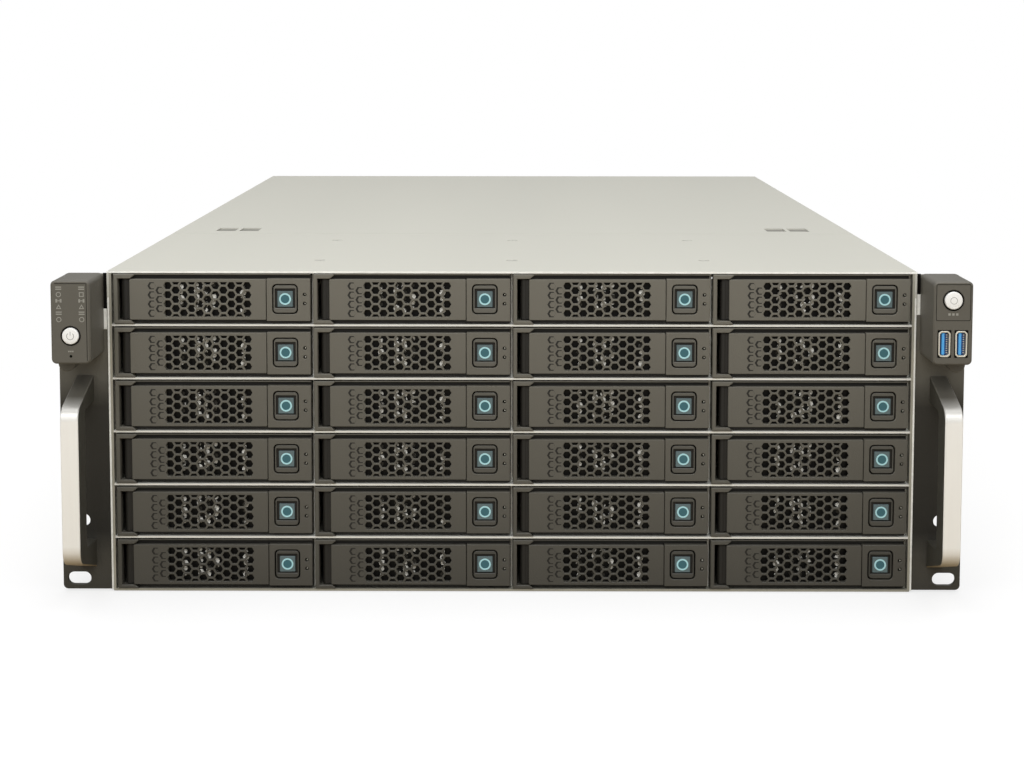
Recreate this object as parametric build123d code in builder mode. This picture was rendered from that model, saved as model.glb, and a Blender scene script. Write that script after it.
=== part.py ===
from build123d import *
from math import sqrt
import os

# Rackmount storage server case, four rack units high, with twenty-four drive trays at the front.
# Millimetres, +Z up, front towards -Y. The origin is midway between the sides, on the underside,
# in the plane where the rack ears meet the rack's posts.

os.makedirs("parts", exist_ok=True)

# Case
case_width = 430.0  # over the flanges of the roof and the cover
case_height = 173.0
case_depth = 680.0
front_reach = 4.0  # how far the case stands ahead of the rack plane
wall_t = 1.2
cover_t = 1.0
cover_gap = 0.2  # between a flange and the case wall
cover_flange = 14.0
roof_depth = 192.0
cover_split = 0.3
panel_t = 1.0
panel_drop = 1.8  # the rear panel's top edge below the cover, so the latches pass over it
rail_hole_r = 2.1
rail_hole_front = 60.0
rail_hole_spacing = 440.0
rail_hole_z = 88.0

# Drive cage
columns = 4
rows = 6
plate_t = 1.0
cage_depth = 190.0
upright_set_back = 6.0  # behind the shelves' front edges
tray_side_gap = 0.325
tray_low_gap = 0.3
tray_top_gap = 0.8  # to the shelf above
tray_roof_gap = 0.4

# Drive tray, measured from its own lower left corner
bezel_proud = 1.0
bezel_step = 4.0  # the faces above and below the lever lie this far back
bezel_plate_t = 2.5
bracket_strip = 2.1
bracket_reach = 10.9
bracket_slant = 1.9
bracket_top = 2.4
bracket_low = 1.9
hinge_slot_end = 9.2
air_window_left = 11.5
air_window_right = 80.0
air_window_rim = 1.8  # above and below the window
button_box_w = 23.0
button_box_rim = 2.15  # above and below the box
button_centre_in = 13.4  # from the tray's right edge
key_w = 12.0
key_rim = 3.95  # above and below the key, to the box's edges
key_gap = 0.4
key_depth = 3.0
carrier_t = 0.8
carrier_rail_drop = 6.6  # from the tray's top to the rails' top
carrier_end_gap = 3.0
carrier_front_strap = 30.0
carrier_back_strap = 18.0

# Lever
lever_left = 8.5
lever_gap = 0.8  # to the button box
lever_clear = 0.3  # to the bracket's arms
lever_t = 3.5
barrel_r = 2.2
barrel_sides = 8
barrel_x = 6.0
barrel_back = 3.7  # behind the lever's face
neck_t = 1.8
mesh_web = 1.6  # between two hexagons
mesh_rim = 1.05  # above and below the hexagons
mesh_columns = 3
mesh_middle = 47.0

# Backplanes
board_t = 1.6
board_short = 1.6  # lower than a tray
board_side_gap = 0.5
connector_w = 42.0
connector_h = 6.0
connector_depth = 8.0

# Fan wall
fan_count = 3
fan_row_margin = 23.6  # left free at each end of the row of fans
fan_gap = 6.0
fan_t = 38.0
fan_bore_rim = 3.0
fan_bore_sides = 16
fan_hub_r = 22.0
fan_hub_sides = 12
fan_hub_t = 30.0
fan_strut_w = 6.0
fan_strut_t = 4.0
fan_plate_t = 1.2
fan_window_rim = 4.0
fan_plate_rim = 6.0  # above the fans
fan_wall_back = 219.0  # the fan plate's front face behind the rack plane

# Rear panel
io_w = 158.75
io_h = 44.45
io_low = 8.0
board_edge_x = 118.0
io_from_board_edge = 5.1
slot_count = 7
slot_pitch = 20.32
slot_from_io = 12.2
slot_open_margin = 7.3
slot_open_h = 106.0
slot_open_low = 9.0
slot_cover_w = 18.4
slot_cover_h = 114.0
slot_cover_t = 0.9
psu_plate_left = 118.5
psu_w = 86.0
psu_low = 12.0
psu_top_margin = 8.2
psu_from_wall = 4.6
rear_fan_sides = 24
rear_fan_pitch = 82.0
rear_fan_r = 38.0
rear_fan_rise = 0.675  # above the middle of the sheet over the connector opening

# Motherboard standoffs
standoff_h = 6.35
standoff_flats = 5.5
standoff_hole_r = 1.45
standoff_hole_depth = 6.0
board_from_panel = 3.0
standoff_first_y = 10.16
standoff_steps_y = (0.0, 154.94, 227.33)
standoff_first_x = 6.35
standoff_steps_x = (0.0, 157.48, 281.94)

# Rear cover latches
latch_x = 176.5
latch_back = 216.0  # from the case front to the middle of a latch
latch_open_w = 12.25
latch_bar = 2.5
latch_open_d = 19.0
latch_plate_margin = 2.0
latch_plate_t = 1.5

# Rack ears
ear_reach = 26.3  # from the case's side to the ear's edge
ear_t = 2.5
ear_low = 0.5
ear_drop = 0.5  # from the roof's top to the ear's top
ear_notch_gap = 0.3  # to the edge strip under the front roof
ear_corner = 2.5
ear_relief_w = 1.1  # beside the case wall, at the foot
ear_relief_top = 7.0
ear_flange_t = 2.0
ear_flange_depth = 30.0
ear_flange_low = 12.0
ear_slot_out = 17.55  # from the case's side to the middle of the slots
ear_slot_length = 12.4
ear_slot_w = 6.8
ear_slot_low = 6.45
ear_slot_step = 31.75
thumb_rise = 2.4  # above the pod's underside
thumb_r = 4.4
thumb_clear = 0.6  # to the pod around it
thumb_sides = 16
thumb_reach = 9.0

# Pull handles
handle_out = 8.0  # from the case's side
handle_w = 9.2
handle_reach = 38.0
handle_pod_gap = 11.6
handle_foot = 13.0
handle_slope = 11.6
handle_corner_r = 8.5
handle_bar_t = 16.0
handle_gap_drop = 14.0  # from the handle's top to the finger gap
handle_gap_rise = 15.0  # from the handle's foot to the finger gap
handle_gap_slope = 1.0
handle_gap_r = 3.0

# Control pods
pod_out = 2.2  # from the case's side
pod_w = 20.2
pod_drop = 1.0  # from the roof's top to the pod's top
pod_h = 43.4
pod_reach = 32.0
pod_corner = 2.5
pod_edge = 0.8
power_drop = 28.8  # from the pod's top to the button's middle
power_r = 4.3
uid_drop = 9.8
uid_r = 4.6
button_gap = 0.3
button_proud = 1.0
button_len = 3.5
button_pocket = 4.0
usb_shell_w = 5.7
usb_shell_h = 13.1
usb_shell_t = 0.4
usb_depth = 14.0
usb_pitch = 8.7
usb_drop = 32.4
usb_tongue_t = 1.9
usb_tongue_h = 11.0
usb_tongue_depth = 9.0

# Places worked out from the sizes above
side_x = case_width / 2
wall_x = side_x - cover_t - cover_gap
inner_x = wall_x - wall_t
wall_top = case_height - cover_t
front_y = -front_reach
rear_y = front_y + case_depth
face_y = front_y - bezel_proud
column_pitch = (2 * inner_x - plate_t) / columns
bezel_w = column_pitch - plate_t - 2 * tray_side_gap
row_gap = plate_t + tray_low_gap + tray_top_gap
rows_h = wall_top - wall_t - tray_low_gap - tray_roof_gap
bezel_h = (rows_h - (rows - 1) * row_gap) / rows
row_pitch = bezel_h + row_gap
button_box_h = bezel_h - 2 * button_box_rim
key_h = button_box_h - 2 * key_rim
cage_back = front_y + cage_depth
step_y = face_y + bezel_step
bezel_back = step_y + bezel_plate_t
lever_right = bezel_w - button_box_w - lever_gap
lever_low = bracket_low + lever_clear
lever_high = bezel_h - bracket_top - lever_clear
barrel_y = face_y + barrel_back
io_high_x = board_edge_x - io_from_board_edge
io_mid_x = io_high_x - io_w / 2
board_rear_y = rear_y - panel_t - board_from_panel
standoff_x = [board_edge_x - standoff_first_x - step for step in standoff_steps_x]
standoff_y = [board_rear_y - standoff_first_y - step for step in standoff_steps_y]
panel_top = wall_top - panel_drop
ear_slot_x = side_x + ear_slot_out
ear_edge = side_x + ear_reach
ear_high = case_height - ear_drop
ear_face = -ear_t
ear_notch_x = side_x + ear_notch_gap
ear_notch_z = case_height - cover_flange - ear_notch_gap
pod_x = side_x + pod_out + pod_w / 2
pod_high = case_height - pod_drop
pod_low = pod_high - pod_h
pod_face = ear_face - pod_reach
power_z = pod_high - power_drop
uid_z = pod_high - uid_drop
usb_z = pod_high - usb_drop
thumb_z = pod_low + thumb_rise
handle_top = pod_low - handle_pod_gap


def tray_x(column):
    """Left edge of a tray, counting columns from 1 at the left."""
    return -inner_x + plate_t + tray_side_gap + (column - 1) * column_pitch


def tray_z(row):
    """Underside of a tray, counting rows from 1 at the top."""
    return wall_t + tray_low_gap + (rows - row) * row_pitch


def write(label, *pieces):
    """Write one node: a single piece, or a group of separate pieces."""
    node = pieces[0] if len(pieces) == 1 else Compound(children=list(pieces))
    node.label = label
    export_step(node, f"parts/{label}.step")


def pod_housing(side):
    """Moulded box of the control pod at the left (-1) or right (1), cut away around the thumbscrew."""
    with BuildPart() as housing:
        with BuildSketch(Plane.XZ.offset(-ear_face)):
            with Locations((side * pod_x, (pod_low + pod_high) / 2)):
                RectangleRounded(pod_w, pod_high - pod_low, pod_corner)
        extrude(amount=pod_reach)
        chamfer(housing.faces().sort_by(Axis.Y)[0].edges(), pod_edge)
        with BuildSketch(Plane.XZ.offset(-ear_face)):
            with Locations((side * (ear_slot_x + thumb_r), thumb_z)):
                Rectangle(4 * thumb_r + 2 * thumb_clear, 2 * (thumb_r + thumb_clear))
        extrude(amount=thumb_reach + thumb_clear, mode=Mode.SUBTRACT)
    return housing.part


# The base pan is a floor sheet with the board's standoffs and a side wall riveted along each edge.
with BuildPart() as side_walls:
    with BuildSketch(Plane.XZ.offset(front_reach)):
        with Locations((-wall_x + wall_t / 2, wall_t), (wall_x - wall_t / 2, wall_t)):
            Rectangle(wall_t, wall_top - wall_t, align=(Align.CENTER, Align.MIN))
    extrude(amount=-case_depth)
    with BuildSketch(Plane.YZ):
        with Locations((rail_hole_front + rail_hole_spacing / 2, rail_hole_z)):
            with GridLocations(rail_hole_spacing, 1, 2, 1):
                Circle(rail_hole_r)
    extrude(amount=wall_x, both=True, mode=Mode.SUBTRACT)
with BuildPart() as floor_sheet:
    with BuildSketch(Plane.XY):
        with Locations((0, front_y)):
            Rectangle(2 * wall_x, case_depth, align=(Align.CENTER, Align.MIN))
    extrude(amount=wall_t)
    with BuildSketch(Plane.XY.offset(wall_t)):
        with Locations(*[(x, y) for x in standoff_x for y in standoff_y]):
            RegularPolygon(standoff_flats / 2, 6, major_radius=False)
    extrude(amount=standoff_h)
    # The threads of the board's four corner screws are cut as plain holes.
    with BuildSketch(Plane.XY.offset(wall_t + standoff_h)):
        with Locations(*[(x, y) for x in standoff_x[::2] for y in standoff_y[::2]]):
            Circle(standoff_hole_r)
    extrude(amount=-standoff_hole_depth, mode=Mode.SUBTRACT)
write("base_pan", floor_sheet.part, side_walls.part)

# The rear panel has the connector, slot and fan openings. The power supply has a plate of its own
# beside it. The fan openings have straight sides, which keeps the facets few.
psu_h = panel_top - psu_low - psu_top_margin
rear_fan_z = (io_low + io_h + panel_top) / 2 + rear_fan_rise
slot_first_x = io_mid_x - io_w / 2 - slot_from_io
slot_mid_x = slot_first_x - (slot_count - 1) * slot_pitch / 2
slot_open_w = slot_count * slot_pitch - slot_open_margin
with BuildPart() as rear_sheet:
    with BuildSketch(Plane.XZ.offset(-rear_y)):
        with Locations((-inner_x, wall_t)):
            Rectangle(inner_x + psu_plate_left, panel_top - wall_t, align=Align.MIN)
        with Locations((io_mid_x, io_low)):
            Rectangle(io_w, io_h, align=(Align.CENTER, Align.MIN), mode=Mode.SUBTRACT)
        with Locations((slot_mid_x, slot_open_low + slot_open_h / 2)):
            Rectangle(slot_open_w, slot_open_h, mode=Mode.SUBTRACT)
        with Locations((io_mid_x, rear_fan_z)):
            with GridLocations(rear_fan_pitch, 1, 2, 1):
                RegularPolygon(rear_fan_r, rear_fan_sides, major_radius=False, mode=Mode.SUBTRACT)
    extrude(amount=panel_t)
with BuildPart() as psu_plate:
    with BuildSketch(Plane.XZ.offset(-rear_y)):
        with Locations((psu_plate_left, wall_t)):
            Rectangle(inner_x - psu_plate_left, panel_top - wall_t, align=Align.MIN)
        with Locations((inner_x - psu_from_wall, psu_low)):
            Rectangle(psu_w, psu_h, align=(Align.MAX, Align.MIN), mode=Mode.SUBTRACT)
    extrude(amount=panel_t)
with BuildPart() as slot_covers:
    with BuildSketch(Plane.XZ.offset(panel_t - rear_y)):
        with Locations((slot_mid_x, slot_open_low + slot_open_h / 2)):
            with GridLocations(slot_pitch, 1, slot_count, 1):
                Rectangle(slot_cover_w, slot_cover_h)
    extrude(amount=slot_cover_t)
write("rear_panel", rear_sheet.part, psu_plate.part, slot_covers.part)

# The drive cage is a crate: a shelf under each row but the last, slotted from the back over uprights
# that stand behind the shelves' front edges.
upright_depth = cage_depth - upright_set_back
with BuildPart() as uprights:
    with BuildSketch(Plane.XY.offset(wall_t)):
        with Locations((0, cage_back - upright_depth / 2)):
            with GridLocations(column_pitch, 1, columns + 1, 1):
                Rectangle(plate_t, upright_depth)
    extrude(amount=wall_top - wall_t)
with BuildPart() as shelves:
    for row in range(1, rows):
        with BuildSketch(Plane.XY.offset(tray_z(row) - tray_low_gap - plate_t)):
            with Locations((0, cage_back)):
                Rectangle(2 * inner_x, cage_depth, align=(Align.CENTER, Align.MAX))
            with Locations((0, cage_back - upright_depth / 2)):
                with GridLocations(column_pitch, 1, columns + 1, 1):
                    Rectangle(plate_t, upright_depth, mode=Mode.SUBTRACT)
        extrude(amount=plate_t)
write("drive_cage", uprights.part, shelves.part)

# One backplane board stands behind each row, with a connector for each drive.
board_z = tray_z(rows) + bezel_h / 2 + (rows - 1) * row_pitch / 2
with BuildPart() as boards:
    with BuildSketch(Plane.XZ.offset(-cage_back)):
        with Locations((0, board_z)):
            with GridLocations(1, row_pitch, 1, rows):
                Rectangle(2 * (inner_x - board_side_gap), bezel_h - board_short)
    extrude(amount=-board_t)
with BuildPart() as connectors:
    with BuildSketch(Plane.XZ.offset(-cage_back)):
        with Locations((0, board_z)):
            with GridLocations(column_pitch, row_pitch, columns, rows):
                Rectangle(connector_w, connector_h)
    extrude(amount=connector_depth)
write("backplanes", boards.part, connectors.part)

# The front roof is fixed: a flat sheet with an edge strip under each side.
with BuildPart() as roof_sheet:
    with BuildSketch(Plane.XY.offset(wall_top)):
        with Locations((0, front_y)):
            Rectangle(case_width, roof_depth, align=(Align.CENTER, Align.MIN))
    extrude(amount=cover_t)
with BuildPart() as roof_strips:
    with BuildSketch(Plane.XZ.offset(front_reach)):
        with Locations((0, wall_top)):
            with GridLocations(case_width - cover_t, 1, 2, 1):
                Rectangle(cover_t, cover_flange - cover_t, align=(Align.CENTER, Align.MAX))
    extrude(amount=-roof_depth)
write("front_roof", roof_sheet.part, roof_strips.part)

# The rear cover slides back off the case. Two latches sit under openings in its front corners.
cover_front = front_y + roof_depth + cover_split
latch_y = front_y + latch_back
with BuildPart() as cover_sheet:
    with BuildSketch(Plane.XZ.offset(-cover_front)):
        with Locations((0, case_height)):
            Rectangle(case_width, cover_flange, align=(Align.CENTER, Align.MAX))
        with Locations((0, wall_top)):
            Rectangle(
                case_width - 2 * cover_t,
                cover_flange,
                align=(Align.CENTER, Align.MAX),
                mode=Mode.SUBTRACT,
            )
    extrude(amount=cover_front - rear_y)
    with BuildSketch(Plane.XY.offset(case_height)):
        with Locations((-latch_x, latch_y), (latch_x, latch_y)):
            with GridLocations(latch_open_w + latch_bar, 1, 2, 1):
                Rectangle(latch_open_w, latch_open_d)
    extrude(amount=-cover_t, mode=Mode.SUBTRACT)
with BuildPart() as latch_plates:
    with BuildSketch(Plane.XY.offset(wall_top)):
        with Locations((-latch_x, latch_y), (latch_x, latch_y)):
            Rectangle(
                2 * latch_open_w + latch_bar + 2 * latch_plate_margin,
                latch_open_d + 2 * latch_plate_margin,
            )
    extrude(amount=-latch_plate_t)
write("rear_cover", cover_sheet.part, latch_plates.part)

# The fan wall is a plate across the case with three fans behind it. Their bores and hubs have
# straight sides, which keeps the facets few.
fan_pitch = (2 * inner_x - 2 * fan_row_margin) / fan_count
fan_size = fan_pitch - fan_gap
fan_bore_r = fan_size / 2 - fan_bore_rim
fan_window = fan_size - 2 * fan_window_rim
fan_z = wall_t + fan_size / 2
with BuildPart() as fan_plate:
    with BuildSketch(Plane.XZ.offset(-fan_wall_back)):
        with Locations((0, wall_t)):
            Rectangle(2 * inner_x, fan_size + fan_plate_rim, align=(Align.CENTER, Align.MIN))
        with Locations((0, fan_z)):
            with GridLocations(fan_pitch, 1, fan_count, 1):
                Rectangle(fan_window, fan_window, mode=Mode.SUBTRACT)
    extrude(amount=-fan_plate_t)
with BuildPart() as fans:
    with BuildSketch(Plane.XZ.offset(-fan_wall_back - fan_plate_t)):
        with Locations((0, fan_z)):
            with GridLocations(fan_pitch, 1, fan_count, 1):
                Rectangle(fan_size, fan_size)
                RegularPolygon(fan_bore_r, fan_bore_sides, major_radius=False, mode=Mode.SUBTRACT)
    extrude(amount=-fan_t)
    with BuildSketch(Plane.XZ.offset(-fan_wall_back - fan_plate_t - fan_t)):
        with Locations((0, fan_z)):
            with GridLocations(fan_pitch, 1, fan_count, 1):
                Rectangle(2 * fan_bore_r + fan_strut_w, fan_strut_w)
                Rectangle(fan_strut_w, 2 * fan_bore_r + fan_strut_w)
    extrude(amount=fan_strut_t)
    with BuildSketch(Plane.XZ.offset(-fan_wall_back - fan_plate_t - fan_t)):
        with Locations((0, fan_z)):
            with GridLocations(fan_pitch, 1, fan_count, 1):
                RegularPolygon(fan_hub_r, fan_hub_sides)
    extrude(amount=fan_hub_t)
write("fan_wall", fan_plate.part, fans.part)

# Each rack ear is an angle: a slotted face on the rack plane and a flange on the case wall.
with BuildPart() as ears:
    with BuildSketch(Plane.XZ) as ear_face_sketch:
        with BuildLine():
            Polyline(
                (wall_x + ear_relief_w, ear_relief_top),
                (wall_x + ear_relief_w, ear_low),
                (ear_edge, ear_low),
                (ear_edge, ear_high),
                (ear_notch_x, ear_high),
                (ear_notch_x, ear_notch_z),
                (wall_x, ear_notch_z),
                (wall_x, ear_relief_top),
                close=True,
            )
        make_face()
        fillet(ear_face_sketch.vertices().group_by(Axis.X)[-1].sort_by(Axis.Y)[0], ear_corner)
        with Locations((ear_slot_x, ear_slot_low), (ear_slot_x, ear_slot_low + ear_slot_step)):
            SlotOverall(ear_slot_length, ear_slot_w, mode=Mode.SUBTRACT)
    extrude(amount=ear_t)
    with BuildSketch(Plane.XY.offset(ear_flange_low)):
        with Locations((wall_x, 0)):
            Rectangle(ear_flange_t, ear_flange_depth, align=Align.MIN)
    extrude(amount=ear_notch_z - ear_flange_low)
    mirror(about=Plane.YZ)
with BuildPart() as thumbscrews:
    with BuildSketch(Plane.XZ.offset(-ear_face)):
        with Locations((ear_slot_x, thumb_z)):
            RegularPolygon(thumb_r, thumb_sides)
    extrude(amount=thumb_reach)
    mirror(about=Plane.YZ)
write("rack_ears", ears.part, thumbscrews.part)

# The pull handles are deep bars with a finger gap behind them.
gap_top = handle_top - handle_gap_drop
gap_low = handle_foot + handle_gap_rise
handle_face = ear_face - handle_reach
handle_back = handle_face + handle_bar_t
with BuildPart() as pull_handles:
    with BuildSketch(Plane.YZ.offset(side_x + handle_out)) as handle_side:
        with BuildLine():
            Polyline(
                (ear_face, handle_top),
                (handle_face, handle_top - handle_slope),
                (handle_face, handle_foot + handle_slope),
                (ear_face, handle_foot),
                close=True,
            )
        make_face()
        fillet(handle_side.vertices().group_by(Axis.X)[0], handle_corner_r)
        with BuildSketch(mode=Mode.PRIVATE) as finger_gap:
            with BuildLine():
                Polyline(
                    (ear_face, gap_top),
                    (handle_back, gap_top - handle_gap_slope),
                    (handle_back, gap_low + handle_gap_slope),
                    (ear_face, gap_low),
                    close=True,
                )
            make_face()
            fillet(finger_gap.vertices().group_by(Axis.X)[0], handle_gap_r)
        add(finger_gap.sketch, mode=Mode.SUBTRACT)
    extrude(amount=handle_w)
    mirror(about=Plane.YZ)
write("pull_handles", pull_handles.part)

# The left pod carries the power button, the right pod the locator button and two sockets.
with BuildPart() as left_pod:
    add(pod_housing(-1))
    with BuildSketch(Plane.XZ.offset(-pod_face)):
        with Locations((-pod_x, power_z)):
            Circle(power_r + button_gap)
    extrude(amount=-button_pocket, mode=Mode.SUBTRACT)
usb_points = [(pod_x - usb_pitch / 2, usb_z), (pod_x + usb_pitch / 2, usb_z)]
with BuildPart() as right_pod:
    add(pod_housing(1))
    with BuildSketch(Plane.XZ.offset(-pod_face)):
        with Locations((pod_x, uid_z)):
            Circle(uid_r + button_gap)
    extrude(amount=-button_pocket, mode=Mode.SUBTRACT)
    with BuildSketch(Plane.XZ.offset(-pod_face)):
        with Locations(*usb_points):
            Rectangle(usb_shell_w, usb_shell_h)
    extrude(amount=-usb_depth, mode=Mode.SUBTRACT)
with BuildPart() as usb_shells:
    with BuildSketch(Plane.XZ.offset(-pod_face)):
        with Locations(*usb_points):
            Rectangle(usb_shell_w, usb_shell_h)
            Rectangle(
                usb_shell_w - 2 * usb_shell_t,
                usb_shell_h - 2 * usb_shell_t,
                mode=Mode.SUBTRACT,
            )
    extrude(amount=-usb_depth)
with BuildPart() as usb_tongues:
    with BuildSketch(Plane.XZ.offset(-pod_face - usb_depth)):
        with Locations(*usb_points):
            Rectangle(usb_tongue_t, usb_tongue_h)
    extrude(amount=usb_tongue_depth)
write("control_pods", left_pod.part, right_pod.part, usb_shells.part, usb_tongues.part)

button_back = pod_face - button_proud + button_len
with BuildPart() as power_button:
    with BuildSketch(Plane.XZ.offset(-button_back)):
        with Locations((-pod_x, power_z)):
            Circle(power_r)
    extrude(amount=button_len)
write("power_button", power_button.part)
with BuildPart() as uid_button:
    with BuildSketch(Plane.XZ.offset(-button_back)):
        with Locations((pod_x, uid_z)):
            Circle(uid_r)
    extrude(amount=button_len)
write("uid_button", uid_button.part)

# Tray bezel: a recessed plate, the lever's hinge bracket at the left, the button's box at the right.
box_mid_x = bezel_w - button_box_w / 2
key_x = bezel_w - button_centre_in
bezel_mid_z = bezel_h / 2
with BuildPart() as bezel:
    with BuildSketch(Plane.XZ.offset(-bezel_back)):
        Rectangle(bezel_w, bezel_h, align=Align.MIN)
        with Locations((bracket_strip, bezel_mid_z)):
            Rectangle(
                hinge_slot_end - bracket_strip,
                bezel_h - bracket_top - bracket_low,
                align=(Align.MIN, Align.CENTER),
                mode=Mode.SUBTRACT,
            )
        with Locations((air_window_left, bezel_mid_z)):
            Rectangle(
                air_window_right - air_window_left,
                bezel_h - 2 * air_window_rim,
                align=(Align.MIN, Align.CENTER),
                mode=Mode.SUBTRACT,
            )
    extrude(amount=bezel_plate_t)
    with BuildSketch(Plane.XZ.offset(-step_y)):
        with BuildLine():
            Polyline(
                (0, 0),
                (bracket_reach, 0),
                (bracket_reach - bracket_slant, bracket_low),
                (bracket_strip, bracket_low),
                (bracket_strip, bezel_h - bracket_top),
                (bracket_reach - bracket_slant, bezel_h - bracket_top),
                (bracket_reach, bezel_h),
                (0, bezel_h),
                close=True,
            )
        make_face()
        with Locations((box_mid_x, bezel_mid_z)):
            Rectangle(button_box_w, button_box_h)
    extrude(amount=bezel_step)
    with BuildSketch(Plane.XZ.offset(-face_y)):
        with Locations((key_x, bezel_mid_z)):
            Rectangle(key_w + 2 * key_gap, key_h + 2 * key_gap)
    extrude(amount=-key_depth, mode=Mode.SUBTRACT)

# Tray carrier: two steel side rails and two floor straps between them, open at the top and the back.
carrier_back = cage_back - carrier_end_gap - connector_depth
carrier_rail_h = bezel_h - carrier_rail_drop
with BuildPart() as carrier_rails:
    with BuildSketch(Plane.XZ.offset(-bezel_back)):
        with Locations((carrier_t / 2, carrier_rail_h / 2), (bezel_w - carrier_t / 2, carrier_rail_h / 2)):
            Rectangle(carrier_t, carrier_rail_h)
    extrude(amount=bezel_back - carrier_back)
with BuildPart() as carrier_straps:
    with BuildSketch(Plane.XY):
        with Locations((carrier_t, bezel_back)):
            Rectangle(bezel_w - 2 * carrier_t, carrier_front_strap, align=Align.MIN)
        with Locations((carrier_t, carrier_back - carrier_back_strap)):
            Rectangle(bezel_w - 2 * carrier_t, carrier_back_strap, align=Align.MIN)
    extrude(amount=carrier_t)

# Release key in the button box.
with BuildPart() as release_key:
    with BuildSketch(Plane.XZ.offset(-face_y)):
        with Locations((key_x, bezel_mid_z)):
            Rectangle(key_w, key_h)
    extrude(amount=-key_depth)

# Lever: a hexagon grille that swings out on a barrel at its left end.
mesh_flats = (lever_high - lever_low - 2 * mesh_rim - mesh_web) / 2
mesh_pitch = mesh_flats + mesh_web
mesh_step = mesh_pitch * sqrt(3) / 2
with BuildPart() as lever:
    with BuildSketch(Plane.XZ.offset(-face_y)):
        with Locations((lever_left, lever_low)):
            Rectangle(lever_right - lever_left, lever_high - lever_low, align=Align.MIN)
        lever_mid_z = (lever_low + lever_high) / 2
        for mesh_column in range(mesh_columns):
            mesh_x = mesh_middle + (mesh_column - (mesh_columns - 1) / 2) * mesh_step
            holes_up = 2 - mesh_column % 2
            with Locations((mesh_x, lever_mid_z)):
                with GridLocations(1, mesh_pitch, 1, holes_up):
                    RegularPolygon(mesh_flats / 2, 6, major_radius=False, mode=Mode.SUBTRACT)
    extrude(amount=-lever_t)
    with BuildSketch(Plane.XY.offset(lever_low)):
        with Locations((barrel_x, barrel_y)):
            RegularPolygon(barrel_r, barrel_sides)
        with Locations((barrel_x, face_y + lever_t)):
            Rectangle(lever_left - barrel_x, neck_t, align=(Align.MIN, Align.MAX))
    extrude(amount=lever_high - lever_low)

for row in range(1, rows + 1):
    for column in range(1, columns + 1):
        place = Location((tray_x(column), 0, tray_z(row)))
        name = f"r{row}c{column}"
        write(
            f"tray_{name}",
            bezel.part.moved(place),
            carrier_rails.part.moved(place),
            carrier_straps.part.moved(place),
            release_key.part.moved(place),
        )
        write(f"lever_{name}", lever.part.moved(place))
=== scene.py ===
import math

import bmesh
import bpy
from mathutils import Matrix, Vector
from mathutils.geometry import tessellate_polygon


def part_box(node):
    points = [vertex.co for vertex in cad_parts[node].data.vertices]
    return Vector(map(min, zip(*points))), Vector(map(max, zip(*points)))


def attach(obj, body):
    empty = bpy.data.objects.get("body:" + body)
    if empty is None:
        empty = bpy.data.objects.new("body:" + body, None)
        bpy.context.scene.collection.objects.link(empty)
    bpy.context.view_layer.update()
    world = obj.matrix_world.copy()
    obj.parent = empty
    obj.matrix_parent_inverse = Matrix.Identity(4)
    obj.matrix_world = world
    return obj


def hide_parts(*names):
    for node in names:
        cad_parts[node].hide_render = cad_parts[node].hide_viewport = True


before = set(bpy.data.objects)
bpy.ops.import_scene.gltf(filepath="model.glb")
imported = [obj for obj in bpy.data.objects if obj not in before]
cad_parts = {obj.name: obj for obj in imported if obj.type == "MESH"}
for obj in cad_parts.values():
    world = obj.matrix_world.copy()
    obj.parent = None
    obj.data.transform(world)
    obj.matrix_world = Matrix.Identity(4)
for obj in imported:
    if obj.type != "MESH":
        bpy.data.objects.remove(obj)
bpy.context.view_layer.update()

MM = 0.001
COLUMNS = 4
ROWS = 6

# Sizes of the drive front in millimetres, in a tray's own frame: x from its left edge, z from its
# underside, y as in the case
BEZEL_W = 104.4
BEZEL_H = 26.6
FACE_Y = -5.0
STEP_Y = -1.0
PLATE_BACK = 1.5
KEY_X = 91.0
MID_Z = BEZEL_H / 2
BOX_LOW = 1.6
BOX_HIGH = 24.2
BRACKET_RIGHT = 10.9
LIP_LOW = 26.05
DRIVE_BACK = 175.0
RAIL_H = 20.0
RAIL_T = 0.8
LEVER_LEFT = 8.5
LEVER_RIGHT = 80.9
LEVER_LOW = 2.2
LEVER_HIGH = 23.9
BARREL_X = 6.0
BARREL_Y = -1.3


# Flat outlines

def rounded(corners, radius, steps=4):
    """Outline with its corners rounded. radius is one number or one for each corner."""
    count = len(corners)
    radii = radius if isinstance(radius, (list, tuple)) else [radius] * count
    points = []
    for i, corner in enumerate(corners):
        here = Vector(corner)
        before = (Vector(corners[i - 1]) - here).normalized()
        after = (Vector(corners[(i + 1) % count]) - here).normalized()
        if radii[i] <= 0:
            points.append(tuple(here))
            continue
        half = before.angle(after) / 2
        centre = here + (before + after).normalized() * radii[i] / math.sin(half)
        start = here + before * radii[i] / math.tan(half) - centre
        end = here + after * radii[i] / math.tan(half) - centre
        turn = start.angle_signed(end)
        for step in range(steps + 1):
            angle = -turn * step / steps
            cos, sin = math.cos(angle), math.sin(angle)
            points.append(
                (
                    centre.x + start.x * cos - start.y * sin,
                    centre.y + start.x * sin + start.y * cos,
                )
            )
    return points


def rectangle(left, low, right, high, radius=0.0, steps=4):
    return rounded([(left, low), (right, low), (right, high), (left, high)], radius, steps)


def polygon(x, z, radius, sides, turn=0.0):
    angles = [turn + math.tau * i / sides for i in range(sides)]
    return [(x + radius * math.cos(a), z + radius * math.sin(a)) for a in angles]


def area(points):
    pairs = zip(points, points[1:] + points[:1])
    return sum(a[0] * b[1] - b[0] * a[1] for a, b in pairs) / 2


def counterclockwise(points):
    points = [tuple(p) for p in points]
    return points if area(points) > 0 else points[::-1]


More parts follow.
